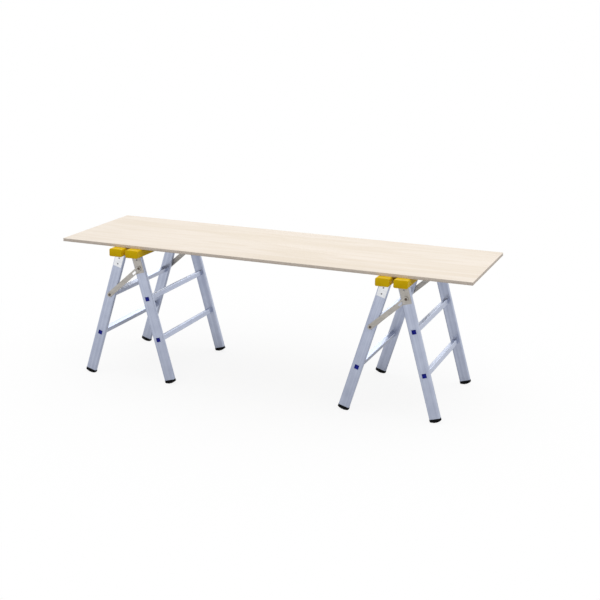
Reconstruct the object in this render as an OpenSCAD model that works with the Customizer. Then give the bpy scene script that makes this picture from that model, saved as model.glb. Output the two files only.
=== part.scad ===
// Pair of folding builders trestles that carry a plywood board.
// Each trestle is two aluminium ladder frames, hinged together under the yellow rails that the board lies on.
// The fixed ladder stands on the -X side of its trestle, and the swing ladder folds up against it.
// X runs along the board, Y across it and Z up, with the origin on the floor midway between the trestles.

/* [Board] */
// Length of the board
board_l = 2500; // [2000:10:3000]
// Width of the board, across the rails
board_w = 800; // [500:5:900]
// Thickness of the plywood
board_t = 18; // [12:1:30]
// Radius of the board's corners, seen from above
board_corner = 3; // [1:0.5:10]
// Distance that the board lies behind the trestles' middle
board_y = 22; // [-40:1:40]

/* [Trestles] */
// Distance between the middles of the two trestles
trestle_pitch = 1630; // [1100:10:1800]
// Height of the rails' top above the floor
trestle_h = 805; // [720:5:900]
// Distance between the two ladders' stile axes, at the floor
foot_spread = 545; // [460:5:600]
// Depth of a ladder over the outer faces of its stiles
frame_depth = 750; // [600:5:800]

/* [Stiles] */
// Width of the stile's face, in the plane that it leans in
stile_w = 64; // [56:1:70]
// Depth of the stile, along the rungs
stile_d = 25; // [22:1:30]
// Wall of the stile's tube
stile_wall = 2; // [1.5:0.1:2.5]
// Radius of the stile's outer corners
stile_corner = 6; // [3:0.5:7]

/* [Rungs] */
// Side of the square rung
rung_side = 30; // [26:1:34]
// Wall of the rung's tube
rung_wall = 2; // [1.4:0.1:2.2]
// Radius of the rung's outer corners
rung_corner = 3; // [2.5:0.5:5]
// Height of the lower rung's axis above the floor
rung_first_h = 265; // [220:1:280]
// Distance between the two rungs, along the stile
rung_pitch = 253; // [220:1:270]
// Overhang of the flared lip that locks the rung in the stile
lip_w = 3; // [2:0.5:4]
// Thickness of the flared lip
lip_t = 1.5; // [1:0.1:2]
// Depth of the plug in the rung's end
plug_l = 18; // [14:1:24]

/* [Rails] */
// Width of one rail
rail_w = 80; // [74:1:90]
// Height of the rail
rail_h = 46; // [40:1:60]
// Overhang of the rail past the stiles' outer faces, at each end
rail_overhang = 58; // [30:1:90]
// Gap between the two rails of a trestle
rail_gap = 24; // [22:1:34]
// Wall of the rail's hollow section
rail_wall = 5; // [4:0.5:6]
// Radius of the rail's long edges
rail_corner = 8; // [6:0.5:10]
// Thickness of the cap on the rail's end
rail_cap_t = 3; // [2:0.5:5]
// Length of the cap's plug inside the rail
rail_cap_plug = 12; // [8:1:20]

/* [Rail brackets] */
// Thickness of the bracket's plate
bracket_t = 2.5; // [2:0.1:3]
// Reach of the fixed ladder's bracket below the rail, along the stile
bracket_drop = 76; // [70:1:80]
// Length of the bracket's flange inside the stile, under the rail
bracket_tail = 40; // [30:1:60]
// Drop of the first rivet below the rail, along the stile
rivet_drop = 22; // [18:1:26]
// Distance between the bracket's two rivets
rivet_pitch = 36; // [30:1:40]
// Shank diameter of the rivets
rivet_d = 4.8; // [4:0.1:5.5]
// Shank diameter of the screws that go up into the rail
screw_d = 5; // [4:0.5:6]
// Length of a screw's shank
screw_l = 16; // [14:1:24]

/* [Hinges] */
// Distance of each hinge's middle from the trestle's middle
hinge_y = 200; // [120:5:280]
// Length of the hinge along its pin
hinge_l = 72; // [60:1:90]
// Reach of a leaf from the pin's axis
leaf_w = 60; // [50:1:80]
// Thickness of a leaf
leaf_t = 3; // [2.5:0.1:3.5]
// Outer radius of the knuckles
knuckle_r = 8; // [7:0.5:9]
// Diameter of the hinge pin
pin_d = 8; // [6:0.5:9]

/* [Stays] */
// Width of the flat stay
stay_w = 30; // [28:1:34]
// Thickness of the stay
stay_t = 4; // [3:0.5:5]
// Drop of the stay's stud below the rail, measured upright
stud_drop = 70; // [66:1:76]
// Diameter of the stud and of the pivot bolt
stud_d = 8; // [7:0.5:9]
// Metal left between the slot and the stay's end
stay_end = 7; // [6:0.5:9]

/* [Feet] */
// Radius of the foot's rounded sole
foot_r = 70; // [60:1:90]
// Height of the foot below the stile's end, at the stile's axis
foot_h = 16; // [14:1:22]
// Overhang of the foot round the stile
foot_lip = 1; // [0.5:0.1:2]
// Length of the foot's plug inside the stile
foot_plug = 30; // [20:1:45]
// Number of grooves across the sole
groove_count = 3; // [1:1:4]

/* [Hidden] */
$fn = 48;

// Clearances
rung_fit = 0.1;
plug_fit = 0.1;
cap_fit = 0.1;
foot_fit = 0.2;
shank_fit = 0.1;
pin_fit = 0.05;
knuckle_fit = 0.5;
leaf_gap = 1;
stay_clear = 0.5;
slot_clear = 0.4;
overrun = 1;

// Colours
aluminium_colour = [0.66, 0.69, 0.76];
plywood_colour = [0.93, 0.87, 0.78];
rail_colour = [0.85, 0.68, 0.04];
zinc_colour = [0.78, 0.79, 0.80];
stay_colour = [0.65, 0.63, 0.58];
rivet_colour = [0.56, 0.56, 0.57];
bolt_colour = [0.38, 0.35, 0.32];
plug_colour = [0.10, 0.15, 0.58];
rubber_colour = [0.07, 0.07, 0.08];

// Lines that the two ladders share
rail_z0 = trestle_h - rail_h;
rail_x = (rail_gap + rail_w) / 2;
foot_x = foot_spread / 2;
lean = atan2(foot_x - rail_x, rail_z0);
fold = 2 * lean;
outer_y = frame_depth / 2;
stile_y = outer_y - stile_d / 2;
inner_y = outer_y - stile_d;

// Stiles: the foot's sole is round about a point of the stile's axis, one radius above the floor
sole_z = foot_r / cos(lean);
stile_z0 = sole_z - foot_r + foot_h;
stile_l = rail_z0 / cos(lean) + stile_w;
stile_top = rail_z0 - bracket_t;
stile_inner_r = max(stile_corner - stile_wall, stile_wall / 2);

// Rungs, as places along the stile's axis
rung_zs = [rung_first_h / cos(lean), rung_first_h / cos(lean) + rung_pitch];
rung_inner = rung_side - 2 * rung_wall;
rung_inner_r = max(rung_corner - rung_wall, rung_wall / 2);
plug_recess = rung_wall / 2;
plug_rim = rung_wall * 3 / 2;
plug_dish = plug_l / 6;

// Rails
rail_l = frame_depth + 2 * rail_overhang;
rail_inner_r = max(rail_corner - rail_wall, rail_wall / 2);

// Brackets, rivets and screws
bracket_w = stile_w - 2 * stile_corner;
bracket_corner = bracket_t;
rivet_head_r = rivet_d;
rivet_head_h = rivet_d / 2;
rivet_tail_r = rivet_d * 3 / 4;
rivet_tail_l = rivet_d / 2;
screw_head_r = screw_d;
screw_head_h = screw_d / 2;
bracket_screw_share = 0.3;

// Hinges
hinge_z = rail_z0 - knuckle_r;
knuckle_share = 0.3;
knuckle_l = hinge_l * knuckle_share;
middle_l = hinge_l - 2 * (knuckle_l + knuckle_fit);
leaf_x0 = knuckle_r + leaf_gap;
leaf_screw_x = (rail_gap / 2 + leaf_w) / 2;
leaf_screw_share = 0.3;
leaf_corner = leaf_t;
pin_head_r = pin_d * 3 / 4;
pin_head_h = pin_d / 3;

// Fold linkage, as [x, z] points: the stay turns on the fixed ladder's upper rung end and slides on the stud
stay_y = outer_y + max(lip_t, bracket_t) + stay_clear;
hinge_point = [0, hinge_z];
pivot_point = [rung_zs[1] * sin(lean) - foot_x, rung_zs[1] * cos(lean)];
stud_point = [rail_x + stud_drop * tan(lean), rail_z0 - stud_drop];
stud_r = stud_d / 2;
stud_along = stud_drop / cos(lean);
stud_head_r = stud_d;
stud_head_h = stud_d / 2;
swing_bracket_drop = stud_along + stay_w;

// Where the stud is at a given angle of the fold, seen from the stay's pivot
function stud_arm(angle) = hinge_point + [
    (stud_point.x - hinge_point.x) * cos(angle) + (stud_point.y - hinge_point.y) * sin(angle),
    (stud_point.y - hinge_point.y) * cos(angle) - (stud_point.x - hinge_point.x) * sin(angle)
] - pivot_point;
function stud_reach(angle) = norm(stud_arm(angle));
function stud_angle(angle) = atan2(stud_arm(angle).y, stud_arm(angle).x);

// The stay turns in step with the fold, so at half fold the stud strays a little to one side of its slot
stay_angle = stud_angle(0);
stay_turn = stud_angle(fold) - stay_angle;
stud_stray = stud_reach(fold / 2) * sin(stud_angle(fold / 2) - stay_angle - stay_turn / 2);
slot_shift = stud_stray / 2;
slot_r = stud_r + abs(slot_shift) + slot_clear;
slot_u0 = stud_reach(fold);
slot_u1 = stud_reach(0);
stay_u1 = slot_u1 + slot_r + stay_end - stay_w / 2;
echo(stay_turn = stay_turn, fold = fold, ratio = -stay_turn / fold, pivot_point = pivot_point);

// Feet
foot_root = foot_h / 4;
sole_groove_r = foot_h / 10;
groove_step = 360 / (2 * PI) * stile_w / (groove_count + 1) / foot_r;

// Pieces and where they repeat
SIDES = ["left", "right"];
KINDS = ["fixed", "swing"];
ENDS = [-1, 1];
LADDER_PIECES = ["stile_front", "stile_rear", "rung_lower", "rung_upper", "rung_plugs", "feet", "rail",
    "rail_caps", "brackets", "rivets", "screws", "hinge_leaves"];
TRESTLE_PIECES = ["hinge_pins", "stay_front", "stay_rear", "stay_pivots", "stay_studs"];

// Rectangle with round corners, centred
module round_section(w, h, r) {
    square([w - 2 * r, h], center = true);
    square([w, h - 2 * r], center = true);
    for (x = ENDS, y = ENDS)
        translate([x * (w / 2 - r), y * (h / 2 - r)]) circle(r);
}

// Hollow section with an even wall
module tube_section(w, h, r, wall, inner_r) {
    difference() {
        round_section(w, h, r);
        round_section(w - 2 * wall, h - 2 * wall, inner_r);
    }
}

// Low dome, standing on z = 0
module dome(r, h) {
    ball_r = (r * r + h * h) / (2 * h);
    intersection() {
        translate([0, 0, h - ball_r]) sphere(ball_r);
        cylinder(h = h, r = r);
    }
}

// Puts a trestle's piece on the left or the right of the board
module on_trestle(side) {
    translate([side == "left" ? -trestle_pitch / 2 : trestle_pitch / 2, 0, 0]) children();
}

// Puts a ladder's piece, drawn for the swing ladder, on either ladder of its trestle
module on_ladder(side, kind) {
    on_trestle(side) mirror([kind == "fixed" ? 1 : 0, 0, 0]) children();
}

// Puts a piece, drawn for the rear end, at the rear (1) or the front (-1)
module at_end(end) {
    mirror([0, end == -1 ? 1 : 0, 0]) children();
}

// Frame along the stile's axis: Z up the stile, X across its face, the floor's point of the axis at zero
module along_stile() {
    translate([foot_x, 0, 0]) rotate([0, -lean, 0]) children();
}

// Frame that looks out of a stile's outer face, with Z outwards and the outer face at z = 0
module out_of_face(along) {
    along_stile() translate([0, outer_y, along]) rotate([-90, 0, 0]) children();
}

// Places of a bracket's rivets, along the stile from the floor
function rivet_places(kind) = [
    for (i = [0 : kind == "fixed" ? 1 : 0]) rail_z0 / cos(lean) - rivet_drop - i * rivet_pitch
];
stud_place = rail_z0 / cos(lean) - stud_along;

// Places of the screws under a rail's rear half, as [x, y, thickness of what they hold]
screw_places = concat(
    [for (x = ENDS) [rail_x + x * bracket_screw_share * bracket_w, inner_y - bracket_tail / 2, bracket_t]],
    [for (y = ENDS) [leaf_screw_x, hinge_y + y * leaf_screw_share * hinge_l, leaf_t]]
);

// Space above a level plane, round the top of a stile
module above(level) {
    translate([rail_x - 2 * stile_w, outer_y - 2 * stile_d, level]) cube([4 * stile_w, 4 * stile_d, stile_l]);
}

// Holes for the rivets, and on the swing ladder the stud, through a plate or wall on the outer face
module face_holes(kind, depth) {
    for (z = rivet_places(kind))
        out_of_face(z) cylinder(h = depth, r = rivet_d / 2 + shank_fit, center = true);
    if (kind == "swing")
        out_of_face(stud_place) cylinder(h = depth, r = stud_r + shank_fit, center = true);
}

// Holes for the screws, through what lies at the rail's underside
module screw_holes(depth) {
    for (place = screw_places)
        translate([place.x, place.y, rail_z0])
            cylinder(h = depth, r = screw_d / 2 + shank_fit, center = true);
}

// Plywood board
module board() {
    color(plywood_colour)
        translate([0, board_y, trestle_h]) linear_extrude(board_t)
            round_section(board_l, board_w, board_corner);
}

// Stile: box tube with a square hole for each rung, cut level under the rail
module stile(kind, end) {
    color(aluminium_colour) at_end(end) difference() {
        along_stile() translate([0, stile_y, stile_z0])
            linear_extrude(stile_l) tube_section(stile_w, stile_d, stile_corner, stile_wall, stile_inner_r);
        above(stile_top);
        for (z = rung_zs)
            along_stile() translate([0, stile_y, z]) rotate([90, 0, 0])
                linear_extrude(2 * stile_d, center = true)
                    round_section(rung_side + 2 * rung_fit, rung_side + 2 * rung_fit, rung_corner + rung_fit);
        face_holes(kind, 2 * (stile_wall + overrun));
    }
}

// Section of the rung's lip, from the middle of the tube's wall outwards, with a rolled outer edge
module lip_section() {
    lip_root = rung_wall / 2;
    translate([-lip_root, 0]) square([lip_root + lip_w - lip_t, lip_t]);
    intersection() {
        translate([lip_w - lip_t, 0]) circle(lip_t);
        translate([-lip_root, 0]) square([lip_root + lip_w, lip_t]);
    }
}

// Lip rolled out of the square tube, flat on z = 0
module lip() {
    corner = rung_side / 2 - rung_corner;
    for (turn = [0 : 90 : 270]) rotate(turn) {
        translate([rung_side / 2, 0, 0]) rotate([90, 0, 0])
            linear_extrude(2 * corner, center = true) lip_section();
        translate([corner, corner, 0]) rotate_extrude(angle = 90) translate([rung_corner, 0]) lip_section();
    }
}

// Rung: square tube through both stiles, flared into a lip outside each stile and a bead inside it
module rung(z) {
    color(aluminium_colour) along_stile() translate([0, 0, z]) {
        rotate([90, 0, 0]) linear_extrude(frame_depth + 2 * lip_t, center = true)
            tube_section(rung_side, rung_side, rung_corner, rung_wall, rung_inner_r);
        for (end = ENDS) at_end(end) {
            translate([0, outer_y, 0]) rotate([-90, 0, 0]) lip();
            translate([0, inner_y, 0]) rotate([90, 0, 0]) lip();
        }
    }
}

// Rung plugs: a dished plug in each rung end, bored for the pivot bolt at the fixed ladder's upper rung
module rung_plugs(kind) {
    plug_side = rung_inner - 2 * plug_fit;
    panel_side = plug_side - 2 * plug_rim;
    color(plug_colour) for (end = ENDS, i = [0, 1]) at_end(end) difference() {
        along_stile() translate([0, outer_y + lip_t - plug_recess, rung_zs[i]])
            rotate([90, 0, 0]) difference() {
                linear_extrude(plug_l) round_section(plug_side, plug_side, rung_inner_r);
                translate([0, 0, -overrun]) linear_extrude(overrun + plug_dish)
                    round_section(panel_side, panel_side, rung_inner_r);
            }
        if (kind == "fixed" && i == 1)
            out_of_face(rung_zs[i]) cylinder(h = 2 * plug_l, r = stud_r + shank_fit, center = true);
    }
}

// Feet: rubber caps with a round, grooved sole and a plug that holds in the stile
module feet() {
    plug_w = stile_w - 2 * (stile_wall + foot_fit);
    plug_d = stile_d - 2 * (stile_wall + foot_fit);
    cap_w = stile_w + 2 * foot_lip;
    cap_d = stile_d + 2 * foot_lip;
    color(rubber_colour) for (end = ENDS) at_end(end) along_stile() translate([0, stile_y, 0]) {
        difference() {
            intersection() {
                translate([0, 0, stile_z0 - foot_h]) linear_extrude(foot_h)
                    round_section(cap_w, cap_d, stile_corner + foot_lip);
                translate([0, 0, sole_z]) rotate([90, 0, 0])
                    cylinder(h = 2 * cap_d, r = foot_r, center = true);
            }
            for (i = [1 : groove_count])
                translate([0, 0, sole_z]) rotate([0, (i - (groove_count + 1) / 2) * groove_step, 0])
                    translate([0, 0, -foot_r]) rotate([90, 0, 0])
                        cylinder(h = 2 * cap_d, r = sole_groove_r, center = true);
        }
        translate([0, 0, stile_z0 - foot_root]) linear_extrude(foot_root + foot_plug)
            round_section(plug_w, plug_d, stile_inner_r);
    }
}

// Rail: hollow yellow section that the board lies on, with screw holes in its underside
module rail() {
    color(rail_colour) difference() {
        translate([rail_x, 0, rail_z0 + rail_h / 2]) rotate([90, 0, 0])
            linear_extrude(rail_l - 2 * rail_cap_t, center = true)
                tube_section(rail_w, rail_h, rail_corner, rail_wall, rail_inner_r);
        for (end = ENDS) at_end(end) screw_holes(2 * (rail_wall + overrun));
    }
}

// Rail caps: one on each end of the rail, with a plug inside it
module rail_caps() {
    cap_inset = rail_wall + cap_fit;
    plug_w = rail_w - 2 * cap_inset;
    plug_h = rail_h - 2 * cap_inset;
    color(rail_colour) for (end = ENDS) at_end(end)
        translate([rail_x, rail_l / 2, rail_z0 + rail_h / 2]) rotate([90, 0, 0]) {
            linear_extrude(rail_cap_t) round_section(rail_w, rail_h, rail_corner);
            linear_extrude(rail_cap_t + rail_cap_plug)
                tube_section(plug_w, plug_h, rail_inner_r, rail_wall, rail_inner_r);
        }
}

// What a fold of radius r leaves off a square corner that points to +Y and +Z, along X
module fold_waste(l, r) {
    translate([0, -r, -r]) rotate([0, 90, 0]) difference() {
        translate([-r - overrun, 0, -l / 2]) cube([r + overrun, r + overrun, l]);
        cylinder(h = l + 2 * overrun, r = r, center = true);
    }
}

// Brackets: a plate riveted to each stile's outer face, folded over the stile's top under the rail
module brackets(kind) {
    drop = kind == "fixed" ? bracket_drop : swing_bracket_drop;
    flange_l = stile_d + bracket_t + bracket_tail;
    color(kind == "fixed" ? zinc_colour : stay_colour) for (end = ENDS) at_end(end) difference() {
        union() {
            difference() {
                out_of_face(rail_z0 / cos(lean)) linear_extrude(bracket_t)
                    round_section(bracket_w, 2 * drop, bracket_corner);
                above(rail_z0);
            }
            translate([rail_x - bracket_w / 2, outer_y + bracket_t - flange_l, rail_z0 - bracket_t])
                cube([bracket_w, flange_l, bracket_t]);
        }
        translate([rail_x, outer_y + bracket_t, rail_z0]) fold_waste(2 * stile_w, bracket_t);
        face_holes(kind, 2 * (bracket_t + overrun));
        screw_holes(2 * (bracket_t + overrun));
    }
}

// Rivets: domed heads on the bracket's plate, upset tails inside the stile
module rivets(kind) {
    color(rivet_colour) for (end = ENDS) at_end(end) for (z = rivet_places(kind)) out_of_face(z) {
        translate([0, 0, bracket_t]) dome(rivet_head_r, rivet_head_h);
        translate([0, 0, -stile_wall]) cylinder(h = stile_wall + bracket_t, r = rivet_d / 2);
        translate([0, 0, -stile_wall - rivet_tail_l]) cylinder(h = rivet_tail_l, r = rivet_tail_r);
    }
}

// Screws: domed heads under the brackets' flanges and the hinge leaves, shanks up into the rail
module screws() {
    color(rivet_colour) for (end = ENDS) at_end(end) for (place = screw_places)
        translate([place.x, place.y, rail_z0 - place.z]) {
            rotate([180, 0, 0]) dome(screw_head_r, screw_head_h);
            cylinder(h = screw_l, r = screw_d / 2);
        }
}

// Knuckle of a hinge, along its pin
module knuckle(y, l) {
    translate([0, y, hinge_z]) rotate([90, 0, 0]) cylinder(h = l, r = knuckle_r, center = true);
    translate([0, y - l / 2, rail_z0 - leaf_t]) cube([leaf_x0 + leaf_corner, l, leaf_t]);
}

// Hinge leaves: straps under the rail, with outer knuckles on the fixed ladder and a middle one on the swing
module hinge_leaves(kind) {
    outer_knuckle_y = (hinge_l - knuckle_l) / 2;
    color(stay_colour) for (end = ENDS) at_end(end) difference() {
        union() {
            translate([(leaf_x0 + leaf_w) / 2, hinge_y, rail_z0 - leaf_t])
                linear_extrude(leaf_t) round_section(leaf_w - leaf_x0, hinge_l, leaf_corner);
            if (kind == "fixed")
                for (y = ENDS) knuckle(hinge_y + y * outer_knuckle_y, knuckle_l);
            else
                knuckle(hinge_y, middle_l);
        }
        translate([0, hinge_y, hinge_z]) rotate([90, 0, 0])
            cylinder(h = hinge_l + 2 * overrun, r = pin_d / 2 + pin_fit, center = true);
        screw_holes(2 * (leaf_t + overrun));
    }
}

// Hinge pins, headed at both ends
module hinge_pins() {
    color(rivet_colour) for (end = ENDS) translate([0, end * hinge_y, hinge_z]) rotate([90, 0, 0]) {
        cylinder(h = hinge_l, r = pin_d / 2, center = true);
        for (head = ENDS) mirror([0, 0, head == -1 ? 1 : 0])
            translate([0, 0, hinge_l / 2]) dome(pin_head_r, pin_head_h);
    }
}

// Strip with round ends, whose ends turn about the origin and a point further along X
module round_strip(run, r) {
    translate([0, -r]) square([run, 2 * r]);
    for (u = [0, run]) translate([u, 0]) circle(r);
}

// Stay: flat bar with a pivot hole at the rung's end and a slot that runs on the stud
module stay(end) {
    color(stay_colour) at_end(end)
        translate([pivot_point.x, stay_y, pivot_point.y]) rotate([0, -stay_angle, 0]) rotate([-90, 0, 0])
            mirror([0, 1, 0]) linear_extrude(stay_t) difference() {
                round_strip(stay_u1, stay_w / 2);
                circle(stud_r + shank_fit);
                translate([slot_u0, slot_shift]) round_strip(slot_u1 - slot_u0, slot_r);
            }
}

// Headed pin that holds the stay: head outside it, shoulder behind it and shank through what carries it
module stay_pin(seat, shank, tail_r, tail_h) {
    translate([0, 0, stay_y - outer_y + stay_t + stay_clear]) dome(stud_head_r, stud_head_h);
    translate([0, 0, -shank]) cylinder(h = shank + stay_y - outer_y + stay_t + stay_clear, r = stud_r);
    translate([0, 0, seat]) cylinder(h = stay_y - outer_y - seat - stay_clear / 2, r = stud_head_r);
    if (tail_h > 0)
        translate([0, 0, -shank - tail_h]) cylinder(h = tail_h, r = tail_r);
}

// Stay pivots: bolts through the stays into the plugs of the fixed ladder's upper rung
module stay_pivots() {
    color(bolt_colour) mirror([1, 0, 0]) for (end = ENDS) at_end(end) out_of_face(rung_zs[1])
        stay_pin(lip_t, plug_l / 2, 0, 0);
}

// Stay studs: set through the swing ladder's brackets and stiles, they run in the stays' slots
module stay_studs() {
    color(bolt_colour) for (end = ENDS) at_end(end) out_of_face(stud_place)
        stay_pin(bracket_t, stile_wall, stud_head_r, stud_head_h);
}

board();
for (side = SIDES) {
    for (kind = KINDS) {
        ladder = str(side, "_", kind, "_");
        on_ladder(side, kind) stile(kind, -1);
        on_ladder(side, kind) stile(kind, 1);
        on_ladder(side, kind) rung(rung_zs[0]);
        on_ladder(side, kind) rung(rung_zs[1]);
        on_ladder(side, kind) rung_plugs(kind);
        on_ladder(side, kind) feet();
        on_ladder(side, kind) rail();
        on_ladder(side, kind) rail_caps();
        on_ladder(side, kind) brackets(kind);
        on_ladder(side, kind) rivets(kind);
        on_ladder(side, kind) screws();
        on_ladder(side, kind) hinge_leaves(kind);
    }
    on_trestle(side) hinge_pins();
    on_trestle(side) stay(-1);
    on_trestle(side) stay(1);
    on_trestle(side) stay_pivots();
    on_trestle(side) stay_studs();
}
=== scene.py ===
# Pair of folding aluminium builders trestles that carry a birch plywood board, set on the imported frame.

import math

import bpy
from mathutils import Matrix, Vector


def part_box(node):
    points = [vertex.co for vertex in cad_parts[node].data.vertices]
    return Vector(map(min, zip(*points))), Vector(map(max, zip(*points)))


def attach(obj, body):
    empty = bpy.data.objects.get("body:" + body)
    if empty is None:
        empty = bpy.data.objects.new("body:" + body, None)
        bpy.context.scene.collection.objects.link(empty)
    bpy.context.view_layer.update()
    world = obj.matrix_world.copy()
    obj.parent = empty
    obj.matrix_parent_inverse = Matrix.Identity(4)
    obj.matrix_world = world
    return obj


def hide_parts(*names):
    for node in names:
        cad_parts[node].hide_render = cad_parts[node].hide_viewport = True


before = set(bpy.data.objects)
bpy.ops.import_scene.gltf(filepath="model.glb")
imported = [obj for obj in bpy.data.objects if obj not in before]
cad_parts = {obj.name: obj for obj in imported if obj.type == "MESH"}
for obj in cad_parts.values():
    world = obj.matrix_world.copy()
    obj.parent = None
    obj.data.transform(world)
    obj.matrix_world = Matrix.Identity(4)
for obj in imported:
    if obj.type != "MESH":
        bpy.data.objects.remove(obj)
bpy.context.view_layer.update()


# Board
# The real board is birch plywood, thirteen plies pressed and glued crosswise and sawn to size.
# Its faces are sanded, its edges are left as the saw cut them, and it lies loose on the four rails.

class Finish:
    """One socket of a node tree. Arithmetic on it adds Math nodes, and node() adds any other node."""

    def __init__(self, tree, socket=None):
        self.tree = tree
        self.socket = socket

    def node(self, kind, settings=None, inputs=None, out=0):
        """Adds a node, sets it up, fills or links its sockets, and gives back one of its outputs."""
        added = self.tree.nodes.new("ShaderNode" + kind)
        for name, value in (settings or {}).items():
            setattr(added, name, value)
        for name, value in (inputs or {}).items():
            if isinstance(value, Finish):
                self.tree.links.new(value.socket, added.inputs[name])
            else:
                added.inputs[name].default_value = value
        return Finish(self.tree, added.outputs[out] if added.outputs else None)

    def math(self, operation, first, second=0.0):
        return self.node("Math", {"operation": operation}, {0: first, 1: second})

    def __add__(self, other):
        return self.math("ADD", self, other)

    def __radd__(self, other):
        return self.math("ADD", other, self)

    def __sub__(self, other):
        return self.math("SUBTRACT", self, other)

    def __rsub__(self, other):
        return self.math("SUBTRACT", other, self)

    def __mul__(self, other):
        return self.math("MULTIPLY", self, other)

    def __rmul__(self, other):
        return self.math("MULTIPLY", other, self)

    def __truediv__(self, other):
        return self.math("DIVIDE", self, other)

    def step(self, low, high):
        """0 below low, 1 above high, smooth in between."""
        return self.node("MapRange", {"interpolation_type": "SMOOTHSTEP"}, {0: self, 1: low, 2: high})

    def tint(self, colour, other):
        """Colour where this value is 0, and the other colour where it is 1."""
        return self.node("Mix", {"data_type": "RGBA"}, {0: self, 6: colour, 7: other}, out=2)

    def noise(self, place, detail, roughness=0.5, distortion=0.0):
        """Cloudy values over a place that is counted in the pattern's own lengths."""
        values = {"Vector": place, "Scale": 1.0, "Detail": detail, "Roughness": roughness,
                  "Distortion": distortion}
        return self.node("TexNoise", None, values)

    def stretched(self, sizes, turn=(0.0, 0.0, 0.0)):
        """Object coordinates in a turned frame, counted in lengths of the given sizes."""
        place = self.node("TexCoord", out="Object")
        values = {"Vector": place, "Rotation": turn, "Scale": sizes}
        return self.node("Mapping", {"vector_type": "TEXTURE"}, values)

    def bumps(self, height, depth):
        return self.node("Bump", None, {"Height": height, "Distance": depth, "Strength": 1.0})

    def surface(self, inputs):
        shader = self.node("BsdfPrincipled", None, inputs)
        self.node("OutputMaterial", None, {"Surface": shader})


def new_finish(name):
    """An empty material of that name, and the tree that it is painted with."""
    material = bpy.data.materials.new(name)
    material.use_nodes = True
    material.node_tree.nodes.clear()
    return material, Finish(material.node_tree)


def shade(red, green, blue):
    """A colour given as it looks on a screen, from 0 to 255, as the shader's own linear numbers."""
    parts = [value / 255 for value in (red, green, blue)]
    return (*[p / 12.92 if p <= 0.04045 else ((p + 0.055) / 1.055) ** 2.4 for p in parts], 1.0)


def birch_face():
    """Rotary-cut birch veneer: long pale figure, fine grain lines and short brown flecks."""
    material, tree = new_finish("birch_face")
    figure_size = (0.9, 0.11, 1.0)
    line_size = (0.35, 0.004, 1.0)
    fleck_size = (0.018, 0.0022, 1.0)
    line_share, fleck_share = 0.3, 0.35
    grain_depth = 0.00012
    figure = tree.noise(tree.stretched(figure_size), 4.0, 0.55, 1.4)
    lines = tree.noise(tree.stretched(line_size), 3.0, 0.6)
    flecks = tree.noise(tree.stretched(fleck_size), 1.0).step(0.69, 0.78)
    sapwood = figure.step(0.34, 0.66).tint(shade(247, 237, 225), shade(240, 228, 212))
    grained = (lines.step(0.35, 0.75) * line_share).tint(sapwood, shade(230, 214, 194))
    tree.surface({
        "Base Color": (flecks * fleck_share).tint(grained, shade(190, 158, 126)),
        "Roughness": 0.66 + 0.14 * lines,
        "Specular IOR Level": 0.16,
        "Normal": tree.bumps(lines - 0.6 * flecks, grain_depth),
    })
    return material


def birch_edge(bottom, ply_t):
    """Sawn edge of the plies: end grain and long grain in turn, with a dark glue line between them."""
    material, tree = new_finish("birch_edge")
    saw_size = (0.004, 0.004, 0.03)
    saw_share, glue_share = 0.25, 0.5
    saw_depth = 0.0002
    place = tree.node("TexCoord", out="Object")
    height = tree.node("SeparateXYZ", None, {0: place}, out="Z")
    layer = (height - bottom) / ply_t
    lengthwise = tree.math("PINGPONG", layer + 0.5, 1.0).step(0.45, 0.55)
    glue = 1.0 - tree.math("PINGPONG", layer, 0.5).step(0.05, 0.16)
    saw = tree.noise(tree.stretched(saw_size), 2.0)
    wood = lengthwise.tint(shade(214, 199, 184), shade(245, 235, 222))
    sawn = (saw.step(0.3, 0.8) * saw_share).tint(wood, shade(188, 171, 155))
    tree.surface({
        "Base Color": (glue * glue_share).tint(sawn, shade(128, 110, 98)),
        "Roughness": 0.62 + 0.16 * saw,
        "Specular IOR Level": 0.3,
        "Normal": tree.bumps(saw - 0.7 * glue, saw_depth),
    })
    return material


def pick(piece, kind, wanted):
    """Opens a piece in edit mode with only the wanted edges or faces selected, found by their place."""
    bpy.ops.object.mode_set(mode="EDIT")
    bpy.ops.mesh.select_mode(type=kind)
    bpy.ops.mesh.select_all(action="DESELECT")
    bpy.ops.object.mode_set(mode="OBJECT")
    mesh = piece.data
    if kind == "EDGE":
        for edge in mesh.edges:
            edge.select = wanted(*[mesh.vertices[i].co for i in edge.vertices])
    else:
        for face in mesh.polygons:
            face.select = wanted(face.center, face.normal)
    bpy.ops.object.mode_set(mode="EDIT")


def block(name, low, high):
    """A cube that fills a box: the stock that a piece is shaped from."""
    bpy.ops.object.select_all(action="DESELECT")
    bpy.ops.mesh.primitive_cube_add(size=1, location=(low + high) / 2, scale=high - low)
    bpy.ops.object.transform_apply(location=True, rotation=True, scale=True)
    bpy.context.object.name = name
    return bpy.context.object


board_low, board_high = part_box("board")
board_plies = 13
board_corner = 0.003
board_arris = 0.0007
level_face = 0.99
smooth_angle = math.radians(40)
board = block("plywood_board", board_low, board_high)
pick(board, "EDGE", lambda a, b: abs(a.z - b.z) > board_corner)
bpy.ops.mesh.bevel(offset=board_corner, segments=4, affect="EDGES")
pick(board, "EDGE", lambda a, b: abs(a.z - b.z) < board_arris)
bpy.ops.mesh.bevel(offset=board_arris, segments=2, affect="EDGES")
bpy.ops.object.mode_set(mode="OBJECT")
board.data.materials.append(birch_face())
board.data.materials.append(birch_edge(board_low.z, (board_high.z - board_low.z) / board_plies))
for face in board.data.polygons:
    face.material_index = 0 if abs(face.normal.z) > level_face else 1
bpy.ops.object.shade_smooth_by_angle(angle=smooth_angle)
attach(board, "board")
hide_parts("board")


# Stiles
# Each stile is a drawn aluminium box tube, mill finished, with fine draw lines along it.
# The rungs pass through square holes in its two faces.

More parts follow.
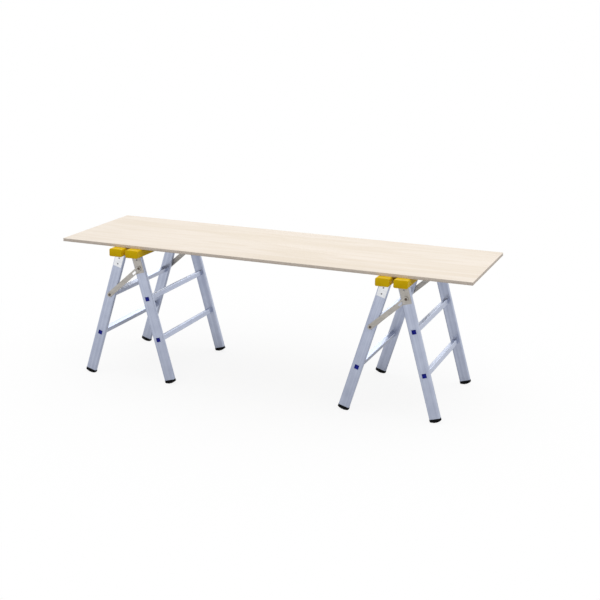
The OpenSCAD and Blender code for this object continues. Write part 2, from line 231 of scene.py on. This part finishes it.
def drawn_aluminium(name, turn, long_axis):
    """Bare drawn aluminium: faint lines and streaks along the tube, a cloudy oxide and a satin gloss."""
    material, tree = new_finish(name)
    line_w, line_l = 0.0012, 0.6
    streak_w, streak_l = 0.012, 1.5
    cloud_size = (0.07, 0.07, 0.07)
    line_depth = 0.00002
    line_sizes = [line_l if axis == long_axis else line_w for axis in range(3)]
    streak_sizes = [streak_l if axis == long_axis else streak_w for axis in range(3)]
    lines = tree.noise(tree.stretched(line_sizes, turn), 3.0, 0.6)
    streaks = tree.noise(tree.stretched(streak_sizes, turn), 2.0)
    clouds = tree.noise(tree.stretched(cloud_size), 3.0)
    tone = 0.5 * streaks + 0.3 * clouds + 0.2 * lines
    tree.surface({
        "Base Color": tone.step(0.3, 0.7).tint(shade(164, 171, 191), shade(188, 195, 213)),
        "Metallic": 1.0,
        "Roughness": 0.21 + 0.14 * lines + 0.08 * clouds,
        "Normal": tree.bumps(lines, line_depth),
    })
    return material


def dress(material, *names):
    """Gives CAD nodes their finish."""
    for name in names:
        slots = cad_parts[name].data.materials
        slots.clear()
        slots.append(material)


sides = ("left", "right")
kinds = ("fixed", "swing")
ends = ("front", "rear")
levels = ("lower", "upper")
ladders = [(f"{side}_{kind}", kind) for side in sides for kind in kinds]
rung_boxes = [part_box(f"left_fixed_rung_{level}") for level in levels]
rung_middles = [(low + high) / 2 for low, high in rung_boxes]
rung_step = rung_middles[1] - rung_middles[0]
lean = math.atan2(rung_step.x, rung_step.z)
turns = {"fixed": lean, "swing": -lean}
for kind in kinds:
    stile_metal = drawn_aluminium(f"stile_{kind}_aluminium", (0.0, turns[kind], 0.0), 2)
    dress(stile_metal, *[f"{side}_{kind}_stile_{end}" for side in sides for end in ends])


# Rungs
# Square tubes of the same drawn aluminium, pushed through both stiles of a ladder.
# Their ends are flared, over a bead inside the stile and a rolled lip outside it.

rung_metal = drawn_aluminium("rung_aluminium", (0.0, 0.0, 0.0), 1)
dress(rung_metal, *[f"{ladder}_rung_{level}" for ladder, kind in ladders for level in levels])


# Rung plugs
# Blue moulded plugs that close the rungs' open ends, pressed in just below the flared lip.
# Each is a cup with a rounded rim round a sunken panel.

def moulded_plastic(name, colour, worn, rough, gloss):
    """Moulded plastic: a fine spark-eroded grain, faint flow clouds and a half gloss."""
    material, tree = new_finish(name)
    grain_size = (0.0011, 0.0011, 0.0011)
    cloud_size = (0.06, 0.06, 0.06)
    grain_depth = 0.00008
    grain = tree.noise(tree.stretched(grain_size), 2.0)
    clouds = tree.noise(tree.stretched(cloud_size), 3.0)
    tree.surface({
        "Base Color": clouds.step(0.35, 0.7).tint(colour, worn),
        "Roughness": rough + 0.12 * grain,
        "Specular IOR Level": gloss,
        "Normal": tree.bumps(grain, grain_depth),
    })
    return material


weld_gap = 0.00002


def solids(name, turn=0.0):
    """Middle and size of each separate solid of a CAD node, measured in a frame turned about Y."""
    probe = bpy.data.objects.new("probe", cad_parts[name].data.copy())
    bpy.context.scene.collection.objects.link(probe)
    bpy.ops.object.select_all(action="DESELECT")
    probe.select_set(True)
    bpy.context.view_layer.objects.active = probe
    bpy.ops.object.mode_set(mode="EDIT")
    bpy.ops.mesh.select_all(action="SELECT")
    bpy.ops.mesh.remove_doubles(threshold=weld_gap)
    bpy.ops.mesh.separate(type="LOOSE")
    bpy.ops.object.mode_set(mode="OBJECT")
    turned_frame = Matrix.Rotation(turn, 3, "Y")
    found = []
    for part in list(bpy.context.selected_objects):
        places = [turned_frame.transposed() @ vertex.co for vertex in part.data.vertices]
        low = Vector([min(place[axis] for place in places) for axis in range(3)])
        high = Vector([max(place[axis] for place in places) for axis in range(3)])
        found.append((turned_frame @ ((low + high) / 2), high - low))
        bpy.data.objects.remove(part)
    return found


def facing_out(middle, reach, turn=0.0):
    """Frame at the outer end of a solid of that reach, with Z out of the trestle's front or rear."""
    rear = middle.y > 0
    spot = middle + Vector((0.0, reach / 2 if rear else -reach / 2, 0.0))
    quarter = math.radians(-90 if rear else 90)
    return Matrix.Translation(spot) @ Matrix.Rotation(turn, 4, "Y") @ Matrix.Rotation(quarter, 4, "X")


def fit(master, name, place, body, node):
    """Copies a modelled piece to its place, on its body, for the CAD node that it stands for."""
    mesh = master.data.copy()
    mesh.transform(place)
    piece = bpy.data.objects.new(name, mesh)
    bpy.context.scene.collection.objects.link(piece)
    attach(piece, body)
    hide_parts(node)


def finished(piece, material, angle=smooth_angle):
    """Leaves edit mode, points the faces outwards, smooths the rounds and gives the piece its finish."""
    bpy.ops.object.mode_set(mode="EDIT")
    bpy.ops.mesh.select_all(action="SELECT")
    bpy.ops.mesh.normals_make_consistent(inside=False)
    bpy.ops.object.mode_set(mode="OBJECT")
    bpy.ops.object.shade_smooth_by_angle(angle=angle)
    piece.data.materials.clear()
    piece.data.materials.append(material)


plug_size = solids("left_fixed_rung_plugs", turns["fixed"])[0][1]
plug_corner = 0.0012
plug_arris = 0.0005
plug_rim = 0.003
plug_dish = 0.003
plug_draft = 0.0005
plug_smooth = math.radians(30)
plug_half = Vector((plug_size.x, plug_size.z, 0.0)) / 2
plug = block("plug_master", Vector((-plug_half.x, -plug_half.y, -plug_size.y)), plug_half)
pick(plug, "FACE", lambda middle, normal: normal.z > level_face)
bpy.ops.mesh.inset(thickness=plug_rim, depth=0.0)
bpy.ops.mesh.inset(thickness=plug_draft, depth=-plug_dish)
pick(plug, "EDGE", lambda a, b: abs(a.z - b.z) > 2 * plug_dish)
bpy.ops.mesh.bevel(offset=plug_corner, segments=3, affect="EDGES")


def on_one_rim(a, b):
    """True for an edge that runs round the plug's face, and false for one that crosses its rim."""
    reaches = [max(abs(end.x), abs(end.y)) for end in (a, b)]
    return max(abs(a.z), abs(b.z)) < plug_arris and abs(reaches[0] - reaches[1]) < plug_corner


pick(plug, "EDGE", on_one_rim)
bpy.ops.mesh.bevel(offset=plug_arris, segments=2, affect="EDGES")
plug_plastic = moulded_plastic("plug_plastic", shade(16, 31, 152), shade(13, 26, 138), 0.38, 0.2)
finished(plug, plug_plastic, plug_smooth)
for ladder, kind in ladders:
    node = f"{ladder}_rung_plugs"
    for number, (middle, size) in enumerate(solids(node, turns[kind])):
        place = facing_out(middle, size.y, turns[kind])
        fit(plug, f"{ladder}_rung_plug_{number + 1}", place, ladder, node)
bpy.data.objects.remove(plug)


# Feet
# Black rubber caps with a round grooved sole, each held by a plug inside the stile.
# A collar of the same rubber grips the stile's end, and the mould leaves the edges rounded.

flush_angle = math.radians(1)


def eased(node, name, width, material, body):
    """Copies a CAD node as a piece of its own, with its sharp edges rounded."""
    piece = bpy.data.objects.new(name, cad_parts[node].data.copy())
    bpy.context.scene.collection.objects.link(piece)
    bpy.ops.object.select_all(action="DESELECT")
    piece.select_set(True)
    bpy.context.view_layer.objects.active = piece
    bpy.ops.mesh.customdata_custom_splitnormals_clear()
    bpy.ops.object.mode_set(mode="EDIT")
    bpy.ops.mesh.select_all(action="SELECT")
    bpy.ops.mesh.remove_doubles(threshold=weld_gap)
    bpy.ops.mesh.dissolve_limited(angle_limit=flush_angle)
    bpy.ops.object.mode_set(mode="OBJECT")
    rounding = piece.modifiers.new("rounding", "BEVEL")
    rounding.width = width
    rounding.segments = 2
    rounding.limit_method = "ANGLE"
    rounding.angle_limit = smooth_angle
    rounding.use_clamp_overlap = False
    bpy.ops.object.modifier_apply(modifier=rounding.name)
    bpy.ops.object.shade_smooth_by_angle(angle=smooth_angle)
    piece.data.materials.clear()
    piece.data.materials.append(material)
    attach(piece, body)
    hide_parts(node)


foot_round = 0.0009
foot_rubber = moulded_plastic("foot_rubber", shade(7, 8, 10), shade(12, 13, 15), 0.62, 0.12)
for ladder, kind in ladders:
    eased(f"{ladder}_feet", f"{ladder}_rubber_feet", foot_round, foot_rubber, ladder)
collar_h = 0.005
collar_corner = 0.007
collar_gap = 0.0001
collar_arris = 0.0003
collar_sharp = math.radians(60)
foot_size = solids("left_fixed_feet", turns["fixed"])[0][1]
stile_size = solids("left_fixed_stile_front", turns["fixed"])[0][1]
collar_half = Vector((foot_size.x, foot_size.y, 0.0)) / 2
collar_t = (foot_size.x - stile_size.x) / 2 - collar_gap
collar = block("collar_master", -collar_half, collar_half + Vector((0.0, 0.0, collar_h)))
pick(collar, "EDGE", lambda a, b: abs(a.z - b.z) > collar_h / 2)
bpy.ops.mesh.bevel(offset=collar_corner, segments=8, affect="EDGES")
pick(collar, "FACE", lambda middle, normal: abs(normal.z) > level_face)
bpy.ops.mesh.inset(thickness=collar_t, depth=0.0, use_individual=True)
bpy.ops.mesh.bridge_edge_loops()
bpy.ops.mesh.select_mode(type="EDGE")
bpy.ops.mesh.select_all(action="DESELECT")
bpy.ops.mesh.edges_select_sharp(sharpness=collar_sharp)
bpy.ops.mesh.bevel(offset=collar_arris, segments=2, affect="EDGES")
finished(collar, foot_rubber)
for ladder, kind in ladders:
    for end in ends:
        middle, size = solids(f"{ladder}_stile_{end}", turns[kind])[0]
        place = Matrix.Translation(middle) @ Matrix.Rotation(turns[kind], 4, "Y")
        place = place @ Matrix.Translation((0.0, 0.0, -size.z / 2))
        fit(collar, f"{ladder}_foot_collar_{end}", place, ladder, f"{ladder}_feet")
bpy.data.objects.remove(collar)


# Rails
# Yellow hollow rails that the board lies on, each carried by the two stiles of one ladder.
# A moulded cap with a rounded rim closes each end.

cap_round = 0.0012
rail_plastic = moulded_plastic("rail_plastic", shade(232, 194, 4), shade(225, 185, 4), 0.5, 0.1)
dress(rail_plastic, *[f"{ladder}_rail" for ladder, kind in ladders])
for ladder, kind in ladders:
    cap_name = f"{ladder}_rail_end_caps"
    eased(f"{ladder}_rail_caps", cap_name, cap_round, rail_plastic, ladder)


# Brackets
# Pressed steel plates that join the stiles to the rails, folded over the stile's top.
# The fixed ladder's are bright zinc, and the swing ladder's, which the stays rub on, are passivated.

def plated_steel(name, colour, dull, rough):
    """Zinc plated steel: a fine spangle, faint smears and a clear gloss."""
    material, tree = new_finish(name)
    spangle_size = (0.006, 0.006, 0.006)
    smear_size = (0.05, 0.05, 0.02)
    spangle_depth = 0.00003
    spangle = tree.noise(tree.stretched(spangle_size), 3.0)
    smears = tree.noise(tree.stretched(smear_size), 3.0, 0.6, 0.8)
    tree.surface({
        "Base Color": smears.step(0.3, 0.7).tint(colour, dull),
        "Metallic": 1.0,
        "Roughness": rough + 0.12 * spangle + 0.06 * smears,
        "Normal": tree.bumps(spangle, spangle_depth),
    })
    return material


plate_round = 0.0005
bright_zinc = plated_steel("bright_zinc", shade(238, 239, 242), shade(226, 228, 232), 0.24)
stay_steel = plated_steel("stay_steel", shade(183, 179, 173), shade(169, 165, 159), 0.34)
bracket_steel = {"fixed": ("bright_zinc", bright_zinc), "swing": ("stay_steel", stay_steel)}
for ladder, kind in ladders:
    slot, steel = bracket_steel[kind]
    eased(f"{ladder}_brackets", f"{ladder}_bracket_plates", plate_round, steel, ladder)


# Rivets
# Blind rivets of dull plated steel that hold the brackets' plates to the stiles.
# Each has a domed head round its broken-off mandrel, and a wider tail inside the stile.

def turned(name, profile, facets):
    """A solid turned about Z: a disc, extruded and resized through rings of (radius, height)."""
    bpy.ops.object.select_all(action="DESELECT")
    radius, height = profile[0]
    start = (0, 0, height)
    bpy.ops.mesh.primitive_circle_add(vertices=facets, radius=radius, fill_type="NGON", location=start)
    bpy.ops.object.transform_apply(location=True, rotation=True, scale=True)
    piece = bpy.context.object
    piece.name = name
    bpy.ops.object.mode_set(mode="EDIT")
    bpy.ops.mesh.select_mode(type="FACE")
    bpy.ops.mesh.select_all(action="SELECT")
    for wide, high in profile[1:]:
        bpy.ops.mesh.extrude_region_move(TRANSFORM_OT_translate={"value": (0, 0, high - height)})
        bpy.ops.transform.resize(value=(wide / radius, wide / radius, 1), center_override=(0, 0, high))
        radius, height = wide, high
    return piece


def dome(radius, height, inner, rings):
    """Rings of a low dome that stands on z = 0, from its rim in to the inner radius."""
    ball = (radius ** 2 + height ** 2) / (2 * height)
    widths = [radius + (inner - radius) * ring / rings for ring in range(rings + 1)]
    return [(wide, math.sqrt(ball ** 2 - wide ** 2) - ball + height) for wide in widths]


turned_smooth = math.radians(35)
small_facets = 24
small_rings = 5
rivet_size = solids("left_fixed_rivets")[0][1]
rivet_r = rivet_size.x / 2
rivet_head_h = rivet_r / 2
rivet_shank_r = rivet_r / 2
rivet_tail_r = rivet_r * 0.75
rivet_tail_l = rivet_r / 2
rivet_end = rivet_head_h - rivet_size.y
mandrel_r = 0.0014
mandrel_pit = 0.0008
mandrel_taper = 0.9
rivet_dome = dome(rivet_r, rivet_head_h, mandrel_r, small_rings)
rivet_steel = plated_steel("rivet_steel", shade(150, 150, 153), shade(120, 120, 123), 0.36)
rivet = turned("rivet_master", [
    (rivet_tail_r, rivet_end),
    (rivet_tail_r, rivet_end + rivet_tail_l),
    (rivet_shank_r, rivet_end + rivet_tail_l),
    (rivet_shank_r, 0.0),
    *rivet_dome,
    (mandrel_r * mandrel_taper, rivet_dome[-1][1] - mandrel_pit),
], small_facets)
finished(rivet, rivet_steel, turned_smooth)
for ladder, kind in ladders:
    node = f"{ladder}_rivets"
    for number, (middle, size) in enumerate(solids(node)):
        place = facing_out(middle, size.y - 2 * rivet_head_h)
        fit(rivet, f"{ladder}_rivet_{number + 1}", place, ladder, node)
bpy.data.objects.remove(rivet)


# Screws
# Button-head screws of the same dull steel, with a hexagon socket and a tapered tip.
# They are driven up through the brackets and the hinge leaves into the rails.

def socketed(piece, across, depth):
    """Sinks a hexagon socket into the face that was made last."""
    bpy.ops.mesh.extrude_region_move(TRANSFORM_OT_translate={"value": (0, 0, 0)})
    bpy.ops.object.mode_set(mode="OBJECT")
    sixth = math.radians(60)
    for vertex in piece.data.vertices:
        if vertex.select:
            bearing = math.atan2(vertex.co.y, vertex.co.x)
            reach = across / 2 / math.cos(bearing % sixth - sixth / 2)
            vertex.co.x = reach * math.cos(bearing)
            vertex.co.y = reach * math.sin(bearing)
    bpy.ops.object.mode_set(mode="EDIT")
    bpy.ops.mesh.extrude_region_move(TRANSFORM_OT_translate={"value": (0, 0, -depth)})


screw_size = solids("left_fixed_screws")[0][1]
screw_r = screw_size.x / 2
screw_head_h = screw_r / 2
screw_shank_r = screw_r / 2
screw_tip_r = screw_shank_r * 0.7
screw_mouth_r = screw_r * 0.48
screw_socket = 0.003
screw_socket_depth = 0.0016
screw = turned("screw_master", [
    (screw_tip_r, screw_head_h - screw_size.z),
    (screw_shank_r, screw_head_h - screw_size.z + screw_shank_r),
    (screw_shank_r, 0.0),
    *dome(screw_r, screw_head_h, screw_mouth_r, small_rings),
], small_facets)
socketed(screw, screw_socket, screw_socket_depth)
finished(screw, rivet_steel, turned_smooth)
for ladder, kind in ladders:
    node = f"{ladder}_screws"
    for number, (middle, size) in enumerate(solids(node)):
        head_base = middle - Vector((0.0, 0.0, size.z / 2 - screw_head_h))
        place = Matrix.Translation(head_base) @ Matrix.Rotation(math.pi, 4, "X")
        fit(screw, f"{ladder}_screw_{number + 1}", place, ladder, node)
bpy.data.objects.remove(screw)


# Hinges
# Two strap hinges a trestle, of passivated steel, screwed up under the two rails.
# A headed pin of dull steel runs through the knuckles of both leaves.

for ladder, kind in ladders:
    strap_name = f"{ladder}_hinge_straps"
    eased(f"{ladder}_hinge_leaves", strap_name, plate_round, stay_steel, ladder)
dress(rivet_steel, *[f"{side}_hinge_pins" for side in sides])


# Stays
# Flat steel bars, passivated to a warm grey, that lock each trestle open.
# The pivot bolt holds the lower end, and the stud runs in the slot at the upper end.

stay_round = 0.0006
for side in sides:
    for end in ends:
        bar_name = f"{side}_stay_bar_{end}"
        eased(f"{side}_stay_{end}", bar_name, stay_round, stay_steel, f"{side}_stays")


# Stay bolts
# Pivot bolts and studs of dark grey-brown steel, turned with a button head and a hexagon socket.
# Behind the stay each has a shoulder, which keeps the stay clear of the stile.

bolt_steel = plated_steel("bolt_steel", shade(118, 108, 100), shade(98, 89, 82), 0.34)
stay_outer = -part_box("left_stay_front")[0].y
stay_inner = -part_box("left_stay_front")[1].y
bolt_seats = {
    "pivot": -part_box("left_fixed_rung_upper")[0].y,
    "stud": -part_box("left_swing_brackets")[0].y,
}
bolt_bodies = {"pivot": "fixed", "stud": "swing"}
bolt_socket = 0.005
bolt_socket_depth = 0.0024
bolt_mouth_share = 0.46
bolt_facets = 36
bolt_rings = 6
for bolt in ("pivot", "stud"):
    middle, size = solids(f"left_stay_{bolt}s")[0]
    bolt_r = size.x / 2
    head_h = bolt_r / 2
    shank_r = bolt_r / 2
    head_base = abs(middle.y) + size.y / 2 - head_h
    shoulder_gap = (head_base - stay_outer) / 2
    tail_end = head_h - size.y
    tail = [(shank_r, tail_end)]
    if bolt == "stud":
        tail = [(bolt_r, tail_end), (bolt_r, tail_end + head_h), (shank_r, tail_end + head_h)]
    master = turned(f"{bolt}_master", [
        *tail,
        (shank_r, bolt_seats[bolt] - head_base),
        (bolt_r, bolt_seats[bolt] - head_base),
        (bolt_r, stay_inner - shoulder_gap - head_base),
        (shank_r, stay_inner - shoulder_gap - head_base),
        (shank_r, 0.0),
        *dome(bolt_r, head_h, bolt_r * bolt_mouth_share, bolt_rings),
    ], bolt_facets)
    socketed(master, bolt_socket, bolt_socket_depth)
    finished(master, bolt_steel, turned_smooth)
    for side in sides:
        node = f"{side}_stay_{bolt}s"
        body = f"{side}_{bolt_bodies[bolt]}"
        for number, (middle, size) in enumerate(solids(node)):
            place = facing_out(middle, size.y - 2 * head_h)
            fit(master, f"{side}_stay_{bolt}_{number + 1}", place, body, node)
    bpy.data.objects.remove(master)


# Floor and light
# A pale floor fades to white under a soft sky, which is strongest overhead and a little to the right.
# Metal alone shows two more things: a light wall behind, and a darker band of floor behind the trestles,
# which is a painted shadow of the board that only metal reflects.

def sight(tree):
    """1 for what the camera sees straight, and 1 for what it sees in metal or through glass."""
    straight = tree.node("LightPath", out="Is Camera Ray")
    glossy = tree.node("LightPath", out="Is Glossy Ray")
    through = tree.node("LightPath", out="Is Transmission Ray")
    return straight, tree.math("MINIMUM", glossy + through, 1.0)


def pale_floor(near, far):
    """Matt floor that takes the shadow near the trestles and fades to white further out, with a painted
    shadow band behind them that only metal shows.
    """
    material, tree = new_finish("pale_floor")
    straight_share = 0.85
    band_y, band_dark, band_light = 0.7, 0.3, 0.65
    painted_shadow_share, beside_share = 0.15, 0.6
    lit_tone = shade(158, 158, 160)
    mirrored_tone = shade(191, 191, 193)
    seen_tone = shade(250, 250, 250)
    place = tree.node("TexCoord", out="Object")
    reach = tree.node("VectorMath", {"operation": "LENGTH"}, {0: place}, out=1)
    depth = tree.node("SeparateXYZ", None, {0: place}, out="Y")
    straight, mirrored = sight(tree)
    tone = straight.tint(mirrored.tint(lit_tone, mirrored_tone), seen_tone)
    matt = tree.node("BsdfDiffuse", None, {"Color": tone})
    white = tree.node("Emission", None, {"Color": (1.0, 1.0, 1.0, 1.0), "Strength": 1.0})
    fade = reach.step(near, far)
    seen_white = straight * (straight_share + (1.0 - straight_share) * fade)
    # Painted shadow: behind the trestles metal sees less white in the floor, as if the board's shadow lay
    # there.
    beside = tree.math("ABSOLUTE", depth - band_y).step(band_dark, band_light)
    mirrored_share = painted_shadow_share + (beside_share - painted_shadow_share) * beside
    mirrored_white = mirrored * (mirrored_share + (1.0 - mirrored_share) * fade)
    mixed = tree.node("MixShader", None, {0: seen_white + mirrored_white, 1: matt, 2: white})
    tree.node("OutputMaterial", None, {"Surface": mixed})
    return material


floor_r = 40
floor_facets = 96
fade_near, fade_far = 0.6, 2.6
bpy.ops.object.select_all(action="DESELECT")
bpy.ops.mesh.primitive_circle_add(vertices=floor_facets, radius=floor_r, fill_type="NGON")
floor = bpy.context.object
floor.name = "floor"
floor.data.materials.append(pale_floor(fade_near, fade_far))

world = bpy.data.worlds.new("studio")
bpy.context.scene.world = world
world.use_nodes = True
world.node_tree.nodes.clear()
sky = Finish(world.node_tree)
sky_level, sky_rise, sky_right = 0.45, 0.83, 0.1
heading = sky.node("TexCoord", out="Generated")
across, up = [sky.node("SeparateXYZ", None, {0: heading}, out=axis) for axis in ("X", "Z")]
glow = sky.math("MAXIMUM", sky_level + sky_rise * up + sky_right * across, 0.0)
straight, mirrored = sight(sky)
strength = glow + (1.0 - glow) * (straight + mirrored)
background = sky.node("Background", None, {"Color": (1.0, 1.0, 1.0, 1.0), "Strength": strength})
sky.node("OutputWorld", None, {"Surface": background})

wall_place = Vector((0.0, 5.0, 3.1))
wall_aim = Vector((0.0, 0.0, 3.1))
wall_w, wall_h, wall_glow = 9.0, 2.6, 1.7
wall_lamp = bpy.data.lights.new("light_wall", "AREA")
wall_lamp.shape = "RECTANGLE"
wall_lamp.size = wall_w
wall_lamp.size_y = wall_h
wall_lamp.energy = wall_glow * math.pi * wall_w * wall_h
wall_lamp.color = (0.93, 0.97, 1.0)
light_wall = bpy.data.objects.new("light_wall", wall_lamp)
bpy.context.scene.collection.objects.link(light_wall)
light_wall.location = wall_place
light_wall.rotation_euler = (wall_aim - wall_place).to_track_quat("-Z", "Y").to_euler()
light_wall.visible_camera = False
light_wall.visible_diffuse = False


# Camera
# It stands to the right in front of the board and a little above it.
# It leans by about one degree, as the picture does.

camera_azimuth = math.radians(20.24)
camera_height = math.radians(14.97)
camera_lean = math.radians(1.34)
camera_reach = 7.333
camera_aim = Vector((0.1249, 0.0223, 0.5))
image_side = 600
focal_pixels = 1225.1
back = Vector((
    math.sin(camera_azimuth) * math.cos(camera_height),
    -math.cos(camera_azimuth) * math.cos(camera_height),
    math.sin(camera_height),
))
sideways = Vector((math.cos(camera_azimuth), math.sin(camera_azimuth), 0.0))
right = math.cos(camera_lean) * sideways + math.sin(camera_lean) * back.cross(sideways)
lens = bpy.data.cameras.new("camera")
lens.sensor_width = 36.0
lens.lens = lens.sensor_width * focal_pixels / image_side
camera = bpy.data.objects.new("camera", lens)
bpy.context.scene.collection.objects.link(camera)
camera_axes = Matrix((right, back.cross(right), back)).transposed()
camera.matrix_world = Matrix.Translation(camera_aim + camera_reach * back) @ camera_axes.to_4x4()
bpy.context.scene.camera = camera

bpy.context.scene.view_settings.view_transform = "Standard"
